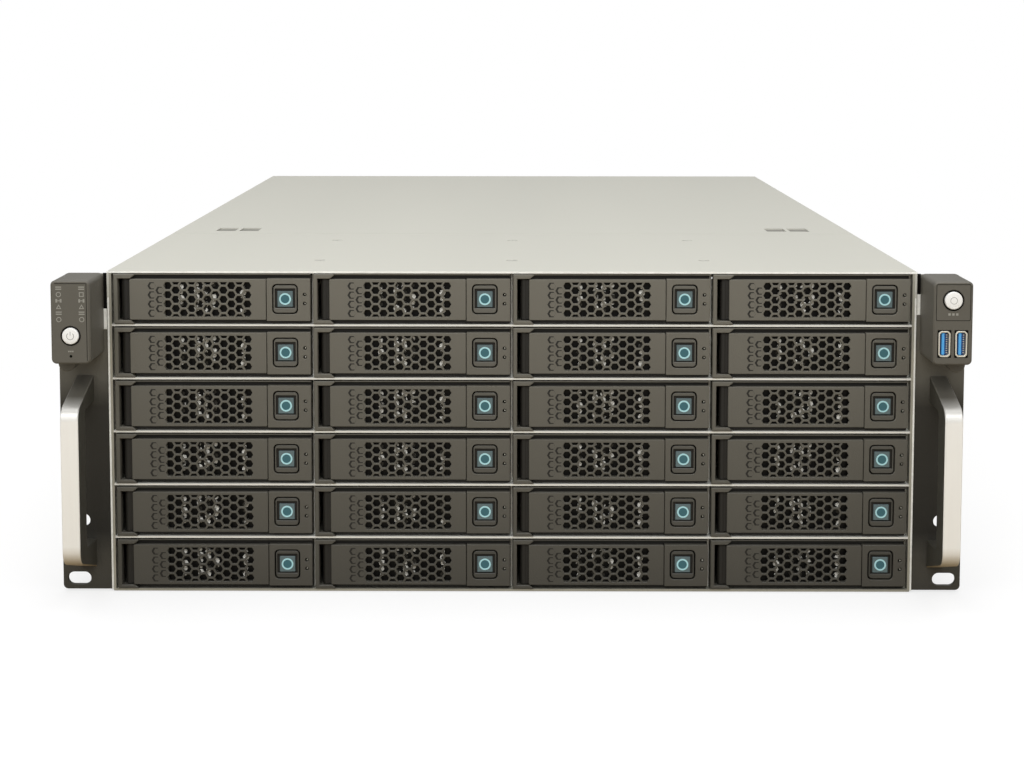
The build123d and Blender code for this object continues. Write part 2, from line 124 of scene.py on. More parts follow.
def grown(points, distance):
    """The counterclockwise outline moved outwards by distance, or inwards where it is negative."""
    count = len(points)
    result = []
    for i in range(count):
        here = Vector(points[i])
        a = here - Vector(points[i - 1])
        b = Vector(points[(i + 1) % count]) - here
        normal_a = Vector((a.y, -a.x)).normalized()
        normal_b = Vector((b.y, -b.x)).normalized()
        middle = normal_a + normal_b
        scale = max(middle.dot(normal_a), 0.2)
        result.append(tuple(here + middle * distance / scale))
    return result


def clipped(points, limit, keep_above):
    """The part of an outline above or below the height limit."""
    result = []
    for i, b in enumerate(points):
        a = points[i - 1]
        a_in = (a[1] >= limit) == keep_above
        b_in = (b[1] >= limit) == keep_above
        if a_in != b_in:
            share = (limit - a[1]) / (b[1] - a[1])
            result.append((a[0] + (b[0] - a[0]) * share, limit))
        if b_in:
            result.append(b)
    return result


# Solids

def facing_front(u, v, w):
    """u across, v up, w is y."""
    return (u, w, v)


def facing_side(u, v, w):
    """u is y, v up, w is x."""
    return (w, u, v)


def facing_up(u, v, w):
    return (u, v, w)


class Mesh:
    """Collects faces in millimetres, with shared corners, and makes Blender objects of them."""

    def __init__(self):
        self.bm = bmesh.new()

    def ring(self, points, w, to_world):
        return [self.bm.verts.new(Vector(to_world(u, v, w)) * MM) for u, v in points]

    def wall(self, a, b, slot=0):
        """Side faces between two rings with as many corners."""
        for i in range(len(a)):
            j = (i + 1) % len(a)
            face = self.bm.faces.new((a[i], a[j], b[j], b[i]))
            face.material_index = slot

    def cap(self, rings, outlines, slot=0):
        """Flat face inside the first outline and outside the others."""
        flat = [v for ring in rings for v in ring]
        loops = [[Vector((u, v, 0)) for u, v in outline] for outline in outlines]
        if len(rings) == 1 and len(flat) < 5:
            self.bm.faces.new(flat).material_index = slot
            return
        for triangle in tessellate_polygon(loops):
            corners = [flat[i] for i in triangle]
            if len(set(corners)) == 3 and not self.bm.faces.get(corners):
                self.bm.faces.new(corners).material_index = slot

    def slab(
        self, outline, low, high, to_world=facing_front, holes=(), pockets=(), pocket_depth=1.0,
        edge=0.2, slots=(0, 0, 0), pocket_slot=0,
    ):
        """Solid between two levels of w with holes through it, pockets from its low side and
        chamfered edges. slots are the materials of the low face, the walls and the high face,
        pocket_slot that of the pockets."""
        outline = counterclockwise(outline)
        holes = [counterclockwise(h) for h in holes]
        pockets = [counterclockwise(p) for p in pockets]
        back_outlines = [grown(outline, -edge)] + [grown(h, edge) for h in holes]
        face_outlines = back_outlines + [grown(p, edge) for p in pockets]
        low_rings = [self.ring(points, low, to_world) for points in face_outlines]
        self.cap(low_rings, face_outlines, slots[0])
        back_rings = [self.ring(points, high, to_world) for points in back_outlines]
        self.cap(back_rings, back_outlines, slots[2])
        for index, points in enumerate([outline] + holes):
            upper = self.ring(points, high - edge, to_world)
            lower = self.ring(points, low + edge, to_world)
            self.wall(low_rings[index], lower, slots[1])
            self.wall(lower, upper, slots[1])
            self.wall(upper, back_rings[index], slots[1])
        for start, points in zip(low_rings[1 + len(holes):], pockets):
            lower = self.ring(points, low + edge, to_world)
            self.wall(start, lower, slots[1])
            floor = self.ring(points, low + pocket_depth, to_world)
            self.wall(lower, floor, pocket_slot)
            self.cap([floor], [points], pocket_slot)
        return self

    def tube(self, profile, centre, to_world, sides=24, slot=0):
        """Solid of revolution. profile is (radius, w) pairs from one end to the other."""
        rings = []
        for radius, w in profile:
            points = polygon(centre[0], centre[1], radius, sides)
            rings.append(self.ring(points, w, to_world))
        for a, b in zip(rings, rings[1:]):
            self.wall(a, b, slot)
        for ring in (rings[0], rings[-1]):
            self.bm.faces.new(ring).material_index = slot
        return self

    def data(self, name, smooth_angle=32.0):
        bmesh.ops.recalc_face_normals(self.bm, faces=self.bm.faces)
        mesh = bpy.data.meshes.new(name)
        self.bm.to_mesh(mesh)
        self.bm.free()
        mesh.polygons.foreach_set("use_smooth", [True] * len(mesh.polygons))
        mesh.set_sharp_from_angle(angle=math.radians(smooth_angle))
        return mesh


def place(mesh, name, body, slot, *materials, at=(0, 0, 0)):
    """Object of a mesh at a point in millimetres, riding on a body."""
    for material in materials[len(mesh.materials):]:
        mesh.materials.append(material)
    obj = bpy.data.objects.new(name, mesh)
    bpy.context.scene.collection.objects.link(obj)
    obj.location = Vector(at) * MM
    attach(obj, body)
    return obj


# Materials

def linear(red, green, blue):
    """Linear colour of an 8-bit screen colour."""
    def one(value):
        value /= 255
        return value / 12.92 if value <= 0.04045 else ((value + 0.055) / 1.055) ** 2.4

    return (one(red), one(green), one(blue), 1.0)


def ranged(nodes, links, source, low, high, start=0.0, end=1.0):
    """Map Range node from start..end to low..high, fed by source."""
    node = nodes.new("ShaderNodeMapRange")
    node.inputs["From Min"].default_value = start
    node.inputs["From Max"].default_value = end
    node.inputs["To Min"].default_value = low
    node.inputs["To Max"].default_value = high
    links.new(source, node.inputs["Value"])
    return node.outputs["Result"]


def mixed(nodes, links, blend, factor, a, b):
    """Colour mix of a and b. Each input is a node's output or a value."""
    node = nodes.new("ShaderNodeMix")
    node.data_type = "RGBA"
    node.blend_type = blend
    for name, value in (("Factor", factor), ("A", a), ("B", b)):
        socket = [s for s in node.inputs if s.name == name and s.enabled][0]
        if isinstance(value, bpy.types.NodeSocket):
            links.new(value, socket)
        else:
            socket.default_value = value
    return [s for s in node.outputs if s.enabled][0]


def material(name, colour, roughness, metallic=0.0, tint=0.06, tint_scale=60.0, grain=0.0,
             grain_scale=2500.0, stretch=(1, 1, 1), specular=0.5, coat=0.0, fades=(),
             glint_spots=None, foot=1.0, head=1.0):
    """Principled surface whose colour, gloss and grain vary a little over it. Each of the fades is
    another colour with the two heights in metres it comes in between, the glint spots another
    colour with the size and share of its spots, painted glints. foot and head scale the colour low
    and high on the case, a painted shade that darkens it towards the foot."""
    mat = bpy.data.materials.new(name)
    mat.use_nodes = True
    nodes, links = mat.node_tree.nodes, mat.node_tree.links
    shader = nodes["Principled BSDF"]
    shader.inputs["Metallic"].default_value = metallic
    shader.inputs["Specular IOR Level"].default_value = specular
    shader.inputs["Coat Weight"].default_value = coat
    place_node = nodes.new("ShaderNodeTexCoord")
    mapping = nodes.new("ShaderNodeMapping")
    mapping.inputs["Scale"].default_value = stretch
    links.new(place_node.outputs["Object"], mapping.inputs["Vector"])
    cloud = nodes.new("ShaderNodeTexNoise")
    cloud.inputs["Scale"].default_value = tint_scale
    cloud.inputs["Detail"].default_value = 4.0
    links.new(mapping.outputs["Vector"], cloud.inputs["Vector"])
    colour_out = colour
    spot = nodes.new("ShaderNodeNewGeometry")
    split = nodes.new("ShaderNodeSeparateXYZ")
    links.new(spot.outputs["Position"], split.inputs["Vector"])
    height = split.outputs["Z"]
    for other, start, end in fades:
        share = ranged(nodes, links, height, 0.0, 1.0, start, end)
        colour_out = mixed(nodes, links, "MIX", share, colour_out, other)
    if (foot, head) != (1.0, 1.0):
        level = ranged(nodes, links, height, foot, head, 0.0, 0.17)
        colour_out = mixed(nodes, links, "MULTIPLY", 1.0, colour_out, level)
    if glint_spots:
        spots = nodes.new("ShaderNodeTexNoise")
        spots.noise_dimensions = "4D"
        spots.inputs["Scale"].default_value = glint_spots[1]
        spots.inputs["Detail"].default_value = 1.0
        each = nodes.new("ShaderNodeObjectInfo")
        links.new(ranged(nodes, links, each.outputs["Random"], 0.0, 40.0), spots.inputs["W"])
        links.new(place_node.outputs["Object"], spots.inputs["Vector"])
        share = ranged(nodes, links, spots.outputs["Fac"], 0.0, 1.0, glint_spots[2], glint_spots[2] + 0.03)
        colour_out = mixed(nodes, links, "MIX", share, colour_out, glint_spots[0])
    tone = ranged(nodes, links, cloud.outputs["Fac"], 1.0 - tint, 1.0 + tint)
    shade = mixed(nodes, links, "MULTIPLY", 1.0, colour_out, tone)
    links.new(shade, shader.inputs["Base Color"])
    gloss = ranged(nodes, links, cloud.outputs["Fac"], max(roughness - 0.05, 0.02), roughness + 0.05)
    links.new(gloss, shader.inputs["Roughness"])
    if grain:
        fine = nodes.new("ShaderNodeTexNoise")
        fine.inputs["Scale"].default_value = grain_scale
        fine.inputs["Detail"].default_value = 2.0
        links.new(mapping.outputs["Vector"], fine.inputs["Vector"])
        bump = nodes.new("ShaderNodeBump")
        bump.inputs["Strength"].default_value = grain
        bump.inputs["Distance"].default_value = 0.0002
        links.new(fine.outputs["Fac"], bump.inputs["Height"])
        links.new(bump.outputs["Normal"], shader.inputs["Normal"])
    return mat


# Share of the front's colour at the case's foot and head, since the photo's light fades downwards
SHADE_FOOT, SHADE_HEAD = 0.46, 1.16

PLASTIC = material("tray_plastic", linear(100, 97, 88), 0.52, grain=0.35, tint=0.05, foot=SHADE_FOOT, head=SHADE_HEAD)
KEY = material("key_plastic", linear(94, 92, 85), 0.45, grain=0.3, foot=SHADE_FOOT, head=SHADE_HEAD)
INSERT = material("key_insert", linear(92, 110, 114), 0.3, grain=0.1, coat=0.3)
RING = material("key_ring", linear(176, 222, 228), 0.35)
RING_FLOOR = material("key_ring_floor", linear(58, 104, 114), 0.35)
# Dark plastic of the thumbscrews, also painted shade on the bezel's recessed faces, in the key's recess,
# on the hinge barrel and in the crescents of the lever's blind holes.
DARK_AND_SHADE = material("dark_plastic_and_painted_shade", linear(26, 24, 20), 0.5, grain=0.3)
# Near-black painted shade in the pods' pockets, the reset pinhole, the rear vents, behind the button box
# and beside the pods, and the colour of the pods' dark joints.
BLACK = material("shaded_gap", linear(12, 11, 9), 0.8, specular=0.1)
# Pale tips of the status light pipes: a painted glint in the dark light holes.
LIGHT_PIPE_GLINT = material("status_light_glint", linear(225, 222, 210), 0.2, coat=0.6)
# Near-black painted shade behind the grille, and studs with near-white spots as painted glints.
DRIVE_SHADE = material("drive_parts", linear(10, 10, 9), 0.4, specular=0.3, grain=0.2)
STUD_GLINTS = material(
    "drive_stud_glints", linear(52, 50, 44), 0.35, glint_spots=(linear(255, 254, 246), 170.0, 0.47),
)
STEEL = material(
    "galvanised_sheet", linear(186, 184, 172), 0.42, metallic=0.6, tint=0.1, tint_scale=45.0,
    grain=0.12, grain_scale=900.0,
)
# Near-white bare steel for the walls' cut edges, the ear tabs and the roof's front edge; on the edges it
# is partly a painted highlight.
EDGE_STEEL_HIGHLIGHT = material(
    "cut_sheet_edge_highlight", linear(250, 250, 244), 0.4, metallic=0.1, tint=0.2, tint_scale=400.0,
)
CAGE = material(
    "cage_sheet", linear(240, 240, 234), 0.4, metallic=0.3, tint=0.06, grain=0.1, grain_scale=1200.0,
)
CARRIER = material("carrier_steel", linear(190, 188, 178), 0.4, metallic=0.85, tint=0.08, grain=0.1)
LATCH = material("latch_plastic", linear(128, 126, 118), 0.45, grain=0.2)
ROOF = material(
    "roof_sheet", linear(200, 199, 189), 0.5, metallic=0.2, tint=0.02, tint_scale=9.0,
    grain=0.06, grain_scale=700.0, stretch=(1, 0.12, 1),
)
SCREW = material("screw_zinc", linear(200, 199, 190), 0.3, metallic=0.7, tint=0.05)
# Painted shade on the ear: darker towards its foot, and a painted shadow of the handle between its legs,
# from 100 mm down to 20 to 32 mm.
EAR = material(
    "ear_paint", linear(96, 93, 84), 0.5, grain=0.5, grain_scale=1800.0, foot=0.4, head=1.3,
    fades=((linear(48, 46, 40), 0.114, 0.100), (linear(96, 93, 84), 0.032, 0.020)),
)
POD = material("pod_plastic", linear(92, 89, 81), 0.48, grain=0.35)
# Painted reflection on the bright aluminium: dark on the top leg's slope above 110 mm, tan on the lower
# bend below 22 to 34 mm.
HANDLE_BRIGHT = material(
    "handle_aluminium", linear(255, 254, 250), 0.32, metallic=0.25, tint=0.04, tint_scale=300.0,
    grain=0.2, grain_scale=1500.0, stretch=(1, 1, 0.05),
    fades=((linear(98, 95, 87), 0.099, 0.110), (linear(172, 152, 116), 0.034, 0.022)),
)
HANDLE_DARK = material("handle_anodised", linear(62, 60, 52), 0.42, metallic=0.2, grain=0.2)
BUTTON = material("button_white", linear(244, 244, 242), 0.35, tint=0.02, coat=0.2)
MARK = material("printed_mark", linear(150, 149, 141), 0.6)
GREY_MARK = material("button_mark", linear(168, 168, 166), 0.6)
BOARD = material("circuit_board", linear(22, 74, 44), 0.4, tint=0.15, tint_scale=200.0)
FAN = material("fan_plastic", linear(34, 34, 34), 0.5, grain=0.3)
CONTACT = material("socket_contact", linear(216, 214, 200), 0.3, metallic=0.4)
# Lighter copy of the sockets' blue plastic for the tongues: a painted highlight.
SOCKET_BLUE_LIT = material("socket_tongue_lit", linear(84, 168, 232), 0.4)
SOCKET_BLUE = material("socket_blue", linear(14, 56, 112), 0.4)
SHELL = material("socket_shell", linear(238, 236, 224), 0.3, metallic=0.5)


def dress(node, material_used):
    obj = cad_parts[node]
    obj.data.materials.clear()
    obj.data.materials.append(material_used)


# Drive front

GRILLE_FIRST_X = 20.3
GRILLE_STEP_X = 4.22
GRILLE_STEP_Z = 4.9
GRILLE_COLUMNS = 13
GRILLE_BLIND = 2
GRILLE_UP = 4
GRILLE_HOLE_R = 2.2


def grille():
    """Through holes of the lever's hexagon grille, with half holes at its rims, and the middles of
    the blind holes in the first columns."""
    through, blind = [], []
    middle = (LEVER_LOW + LEVER_HIGH) / 2
    reach = (GRILLE_UP - 1) / 2 * GRILLE_STEP_Z + GRILLE_HOLE_R * math.sqrt(3) / 2
    for column in range(GRILLE_COLUMNS):
        x = GRILLE_FIRST_X + column * GRILLE_STEP_X
        staggered = column % 2 == 1
        count = GRILLE_UP - 1 if staggered else GRILLE_UP
        for index in range(count):
            z = middle + (index - (count - 1) / 2) * GRILLE_STEP_Z
            if column < GRILLE_BLIND:
                blind.append((x, z))
            else:
                through.append(polygon(x, z, GRILLE_HOLE_R, 6))
        if staggered and column >= GRILLE_BLIND:
            for side in (-1, 1):
                z = middle + side * (count + 1) / 2 * GRILLE_STEP_Z
                cell = polygon(x, z, GRILLE_HOLE_R, 6)
                through.append(clipped(cell, middle + side * reach, side < 0))
    return through, blind


def lever_mesh():
    mesh = Mesh()
    through, blind = grille()
    body = rectangle(LEVER_LEFT, LEVER_LOW, LEVER_RIGHT, LEVER_HIGH, 0.6)
    mesh.slab(body, FACE_Y, FACE_Y + 1.7, holes=through, edge=0.2)
    window = rectangle(27.0, 3.9, 73.6, 22.2, 1.0)
    mesh.slab(body, FACE_Y + 1.6, FACE_Y + 3.5, holes=[window], edge=0.1)
    # Blind holes drawn as painted shadow: a dark crescent at each one's left rim, flush with the face.
    for x, z in blind:
        dimple = polygon(x, z, GRILLE_HOLE_R, 6)
        floor = polygon(x + 0.56, z, GRILLE_HOLE_R - 0.62, 6)
        mesh.slab(dimple, FACE_Y - 0.02, FACE_Y + 0.1, holes=[floor], edge=0.01, slots=(1, 1, 1))
    # Hinge barrel and neck painted dark as the shade of the hinge slot.
    barrel = polygon(BARREL_X, BARREL_Y, 2.2, 20)
    mesh.slab(barrel, LEVER_LOW, LEVER_HIGH, facing_up, edge=0.15, slots=(1, 1, 1))
    neck = rectangle(BARREL_X, FACE_Y + 1.7, LEVER_LEFT + 0.4, FACE_Y + 3.4)
    mesh.slab(neck, LEVER_LOW + 0.3, LEVER_HIGH - 0.3, facing_up, edge=0.1, slots=(1, 1, 1))
    return mesh.data("lever")


KEY_W = 12.3
KEY_H = 14.7
LIGHT_Z = 2.4
STUDS_X = (35.5, 43.9, 48.2, 52.5, 68.4)
STUDS_UP = 5
STUD_STEP = 3.1


def bezel_mesh():
    """Recessed plate with faces painted dark as shade, with the hinge bracket, the top lip and the button
    box before it, and a near-black backing behind the box as painted shade.
    """
    mesh = Mesh()
    outline = rectangle(0, 0, BEZEL_W, BEZEL_H, 0.4)
    hinge_slot = rectangle(2.1, 1.9, 9.2, 24.2)
    window = rectangle(16, 3.2, 76, 23.0, 1.0)
    mesh.slab(outline, STEP_Y, PLATE_BACK, holes=[hinge_slot, window], edge=0.2, slots=(1, 0, 1))
    bracket = [
        (0, 0), (BRACKET_RIGHT, 0), (9.0, 1.9), (2.1, 1.9), (2.1, BOX_HIGH), (8.8, BOX_HIGH),
        (BRACKET_RIGHT, 25.9), (BRACKET_RIGHT, BEZEL_H), (0, BEZEL_H),
    ]
    mesh.slab(bracket, FACE_Y, STEP_Y + 0.1, edge=0.3)
    lip = rectangle(BRACKET_RIGHT - 0.2, LIP_LOW, BEZEL_W, BEZEL_H)
    mesh.slab(lip, FACE_Y + 1.3, STEP_Y + 0.1, edge=0.15)
    box = rectangle(LEVER_RIGHT + 0.35, BOX_LOW, BEZEL_W, BOX_HIGH, 0.4)
    half_w, half_h = KEY_W / 2 + 0.7, KEY_H / 2 + 0.7
    groove = rectangle(KEY_X - half_w, MID_Z - half_h, KEY_X + half_w, MID_Z + half_h, 2.4, 5)
    lights = [polygon(KEY_X + 10.4, MID_Z + side * LIGHT_Z, 0.95, 16) for side in (-1, 1)]
    mesh.slab(box, FACE_Y, STEP_Y + 0.1, holes=[groove] + lights, edge=0.2)
    # Near-black backing behind the button box: painted shade seen through the key's groove and the light
    # holes.
    backing = rectangle(LEVER_RIGHT + 1.5, 2.5, BEZEL_W - 0.5, 23.5)
    mesh.slab(backing, STEP_Y - 0.15, STEP_Y + 0.2, edge=0.05, slots=(2, 2, 2))
    return mesh.data("bezel")


def key_mesh():
    """Rounded key with a square recess between its top and bottom tabs."""
    mesh = Mesh()
    half_w, half_h = KEY_W / 2, KEY_H / 2
    outline = rectangle(KEY_X - half_w, MID_Z - half_h, KEY_X + half_w, MID_Z + half_h, 1.9, 5)
    recess = rectangle(KEY_X - 5.4, MID_Z - 4.8, KEY_X + 5.4, MID_Z + 5.6, 0.3)
    # The recess's walls and floor are painted shade.
    mesh.slab(
        outline, FACE_Y + 0.2, FACE_Y + 3.9, pockets=[recess], pocket_depth=1.3, edge=0.25,
        pocket_slot=1,
    )
    return mesh.data("key")


def insert_mesh():
    mesh = Mesh()
    outline = rectangle(KEY_X - 4.1, MID_Z - 4.25, KEY_X + 4.1, MID_Z + 4.25, 0.3)
    mesh.slab(outline, FACE_Y + 0.6, FACE_Y + 1.55, edge=0.2)
    return mesh.data("insert")


def ring_mesh():
    mesh = Mesh()
    outer, inner = polygon(KEY_X, MID_Z, 3.15, 32), polygon(KEY_X, MID_Z, 2.3, 32)
    mesh.slab(outer, FACE_Y + 0.45, FACE_Y + 0.7, holes=[inner], edge=0.05)
    mesh.slab(inner, FACE_Y + 0.55, FACE_Y + 0.7, edge=0.02, slots=(1, 1, 1))
    return mesh.data("ring")


def light_mesh():
    mesh = Mesh()
    # The pipes sit a little off the holes' middles, where their pale tips make a painted glint.
    for side in (-1, 1):
        centre = (KEY_X + 10.6, MID_Z + side * LIGHT_Z + 0.1)
        mesh.tube([(0.12, -4.75), (0.3, -4.5), (0.35, -1.2)], centre, facing_front, 12)
    return mesh.data("lights")


def drive_parts_mesh():
    """What shows dimly through the grille: a near-black block as painted shade, with columns of studs
    whose bright spots are painted glints.
    """
    mesh = Mesh()
    block = rectangle(16.5, 3.7, 75.5, 22.5, 1.0)
    mesh.slab(block, STEP_Y - 0.1, PLATE_BACK + 6.0, edge=0.3)
    for column, x in enumerate(STUDS_X):
        for row in range(STUDS_UP):
            z = MID_Z + (row - (STUDS_UP - 1) / 2) * STUD_STEP + (column % 2) * STUD_STEP / 3
            radius = 1.0 + 0.35 * ((2 * column + row) % 3)
            mesh.slab(polygon(x, z, radius, 8), STEP_Y - 1.2, STEP_Y, edge=0.2, slots=(1, 1, 1))
    return mesh.data("drive_parts")


def carrier_mesh():
    """Steel rails with screw holes, and the two floor straps between them."""
    mesh = Mesh()
    holes = [polygon(y, RAIL_H / 2, 1.7, 16) for y in (30, 75, 120, 160)]
    rail = rectangle(PLATE_BACK, 0, DRIVE_BACK, RAIL_H, 0.8)
    for left in (0, BEZEL_W - RAIL_T):
        mesh.slab(rail, left, left + RAIL_T, facing_side, holes=holes, edge=0.1)
    for front, back in ((PLATE_BACK, PLATE_BACK + 30), (DRIVE_BACK - 18, DRIVE_BACK)):
        vents = [
            rectangle(x - 7, front + 6, x + 7, front + 12, 2.9)
            for x in (22, 42, 62, 82)
        ]
        strap = rectangle(0.7, front, BEZEL_W - 0.7, back, 0.5)
        mesh.slab(strap, 0, RAIL_T, facing_up, holes=vents, edge=0.1)
    return mesh.data("carrier")


def drive_front():
    parts = {
        "bezel": (bezel_mesh(), "tray_plastic", PLASTIC, DARK_AND_SHADE, BLACK),
        "key": (key_mesh(), "tray_plastic", KEY, DARK_AND_SHADE),
        "insert": (insert_mesh(), "tray_plastic", INSERT),
        "ring": (ring_mesh(), "tray_plastic", RING, RING_FLOOR),
        "lights": (light_mesh(), "tray_plastic", LIGHT_PIPE_GLINT),
        "drive": (drive_parts_mesh(), "tray_plastic", DRIVE_SHADE, STUD_GLINTS),
        "carrier": (carrier_mesh(), "cage_sheet", CARRIER),
    }
    lever = lever_mesh()
    for row in range(1, ROWS + 1):
        for column in range(1, COLUMNS + 1):
            cell = f"r{row}c{column}"
            low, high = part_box("tray_" + cell)
            corner = (low[0] / MM, 0, low[2] / MM)
            for kind, (mesh, slot, *finish) in parts.items():
                piece = place(mesh, f"tray_{cell}_{kind}", "tray_" + cell, slot, *finish, at=corner)
                if kind in ("bezel", "carrier", "key"):
                    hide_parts("tray_" + cell)
            piece = place(
                lever, f"lever_{cell}_grille", "lever_" + cell, "lever_plastic", PLASTIC, DARK_AND_SHADE,
                at=corner,
            )
            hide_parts("lever_" + cell)


# Ears, handles and pods

EAR_FACE = -2.5
POD_X = 227.3
POD_LOW = 128.6
POD_HIGH = 172.0
POD_FACE = -34.5
POD_OUT = 10.1
BUTTON_POCKET = 4.0
POWER_Z = 143.2
POWER_R = 4.3
UID_Z = 162.2
UID_R = 4.6
USB_Z = 139.6
USB_STEP = 8.7
USB_X = (POD_X - USB_STEP / 2, POD_X + USB_STEP / 2)
HANDLE_IN = 223.0
HANDLE_OUT = 232.2
HANDLE_FACE = -40.5
HANDLE_BACK = -24.5
THUMB_X = 232.55
THUMB_Z = 131.0
THUMB_R = 4.4
WALL_X = 213.8
FLANGE_TOP = 158.7
KNURLS = 24
SIDES = (("left", -1), ("right", 1))

# Printed marks and painted seams stand this far before the face, reach this far into it, and have
# this chamfer
MARK_RISE = 0.02
MARK_ROOT = 0.1
MARK_EDGE = 0.01


def mirrored(points, side):
    return [(side * u, v) for u, v in points]


def framed(x, z, half_w, half_h, radius=0.0):
    """Rectangle around a middle."""
    return rectangle(x - half_w, z - half_h, x + half_w, z + half_h, radius)


def line(start, end, width):
    """Outline of a straight stroke."""
    a, b = Vector(start), Vector(end)
    along = (b - a).normalized()
    across = Vector((-along.y, along.x)) * width / 2
    return [tuple(a - across), tuple(b - across), tuple(b + across), tuple(a + across)]


def cross(x, z, arm, width):
    """Outline of a screw's cross recess."""
    half = width / 2
    quarter = [(arm, -half), (arm, half), (half, half)]
    points = []
    for turn in range(4):
        cos, sin = round(math.cos(turn * math.pi / 2)), round(math.sin(turn * math.pi / 2))
        points += [(x + u * cos - v * sin, z + u * sin + v * cos) for u, v in quarter]
    return points


def handles():
    """Deep bars: bright brushed outer faces, dark sides and finger gap."""
    profile = rounded(
        [
            (EAR_FACE, 117.0), (HANDLE_FACE, 105.4), (HANDLE_FACE, 24.6), (EAR_FACE, 13.0),
            (EAR_FACE, 28.0), (HANDLE_BACK, 29.0), (HANDLE_BACK, 102.0), (EAR_FACE, 103.0),
        ],
        [0, 8.5, 8.5, 0, 0, 3.0, 3.0, 0], 10,
    )
    for name, side in SIDES:
        mesh = Mesh()
        low, high = sorted((side * HANDLE_IN, side * HANDLE_OUT))
        mesh.slab(profile, low, high, facing_side, edge=0.45)
        mesh.bm.normal_update()
        for face in mesh.bm.faces:
            middle = face.calc_center_median() / MM
            in_gap = middle.y > HANDLE_BACK - 0.5 and 27 < middle.z < 104
            face.material_index = 1 if abs(face.normal.x) > 0.9 or in_gap else 0
        piece = place(
            mesh.data("handle_" + name), f"handle_{name}_bar", "chassis", "handle_aluminium",
            HANDLE_BRIGHT, HANDLE_DARK,
        )
        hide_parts("pull_handles")


def symbol(mesh, kind, x, z, low, high):
    """Small generic printed sign at x, z."""
    def mark(outline, holes=()):
        mesh.slab(outline, low, high, holes=holes, edge=MARK_EDGE)

    if kind == "bars":
        for up in (-0.75, 0.35):
            mark(rectangle(x - 1.5, z + up, x + 1.5, z + up + 0.55))
    elif kind == "ring":
        mark(polygon(x, z, 1.35, 20), [polygon(x, z, 0.95, 20)])
    elif kind == "link":
        for across in (-1.1, 1.1):
            mark(rectangle(x + across - 0.45, z - 0.9, x + across + 0.45, z + 0.9))
        mark(rectangle(x - 0.9, z - 0.2, x + 0.9, z + 0.2))
    elif kind == "triangle":
        turn = math.pi / 2
        mark(polygon(x, z - 0.2, 1.6, 3, turn), [polygon(x, z - 0.2, 0.85, 3, turn)])
    elif kind == "square":
        mark(framed(x, z, 1.2, 1.2), [framed(x, z, 0.8, 0.8)])


def pods():
    """Housings with pockets for the button and the sockets. Their rear parts leave room for the
    thumbscrews, with a boss in front of each."""
    for name, side in SIDES:
        left, right = sorted((side * (POD_X - POD_OUT), side * (POD_X + POD_OUT)))
        outline = rectangle(left, POD_LOW, right, POD_HIGH, 2.5, 5)
        z, radius = (POWER_Z, POWER_R) if side < 0 else (UID_Z, UID_R)
        pockets = [polygon(side * POD_X, z, radius + 0.3, 40)]
        if side > 0:
            pockets += [framed(x, USB_Z, 2.85, 6.55) for x in USB_X]
        mesh = Mesh()
        # The pockets' walls and floors are near-black painted shade.
        mesh.slab(
            outline, POD_FACE, -11.9, pockets=pockets, pocket_depth=BUTTON_POCKET, edge=0.8,
            pocket_slot=1,
        )
        rear = [
            (217.2, POD_LOW), (227.55, POD_LOW), (227.55, 136.0), (237.4, 136.0), (237.4, POD_HIGH),
            (217.2, POD_HIGH),
        ]
        radii = [2.5, 0, 0, 0, 2.5, 2.5]
        mesh.slab(mirrored(rounded(rear, radii, 5), side), -13.0, -2.0, edge=0.3)
        boss_corners = [(228.0, 122.4), (237.0, 122.4), (237.0, 130.0), (228.0, 130.0)]
        boss = rounded(boss_corners, [4.4, 4.4, 0, 0], 8)
        mesh.slab(mirrored(boss, side), -22.0, -12.5, edge=0.4)
        piece = place(
            mesh.data("pod_" + name), f"pod_{name}_housing", "chassis", "pod_plastic", POD, BLACK
        )
        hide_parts("control_pods")
    pod_seams()
    pod_marks()
    buttons()
    sockets()


def pod_seams():
    """Dark joints of the pods' lids and plates, and the dark rings around the buttons."""
    mesh = Mesh()

    def seam(outline, holes=()):
        rise = MARK_RISE * 1.5
        mesh.slab(outline, POD_FACE - rise, POD_FACE + MARK_ROOT, holes=holes, edge=MARK_EDGE)

    edge_x, edge_z = -POD_X + POD_OUT - 1.7, POD_HIGH - 1.6
    seam(rectangle(edge_x - 0.15, POD_LOW + 1.6, edge_x + 0.15, edge_z))
    seam(rectangle(-POD_X - POD_OUT + 2.2, edge_z - 0.15, edge_x, edge_z + 0.15))
    plate = rectangle(218.4, 151.6, 236.2, 170.6, 0.8)
    seam(plate, [grown(counterclockwise(plate), -0.3)])
    for x, z, radius in ((-POD_X, POWER_Z, POWER_R), (POD_X, UID_Z, UID_R)):
        seam(polygon(x, z, radius + 0.75, 40), [polygon(x, z, radius + 0.25, 40)])
    # The reset pinhole as a near-black disc: painted shade.
    seam(polygon(-POD_X, 132.6, 0.75, 16))
    for x in USB_X:
        seam(framed(x, USB_Z, 3.5, 7.1, 0.3), [framed(x, USB_Z, 2.8, 6.5)])
    place(mesh.data("pod_seams"), "pod_seams", "chassis", "pod_plastic", BLACK)


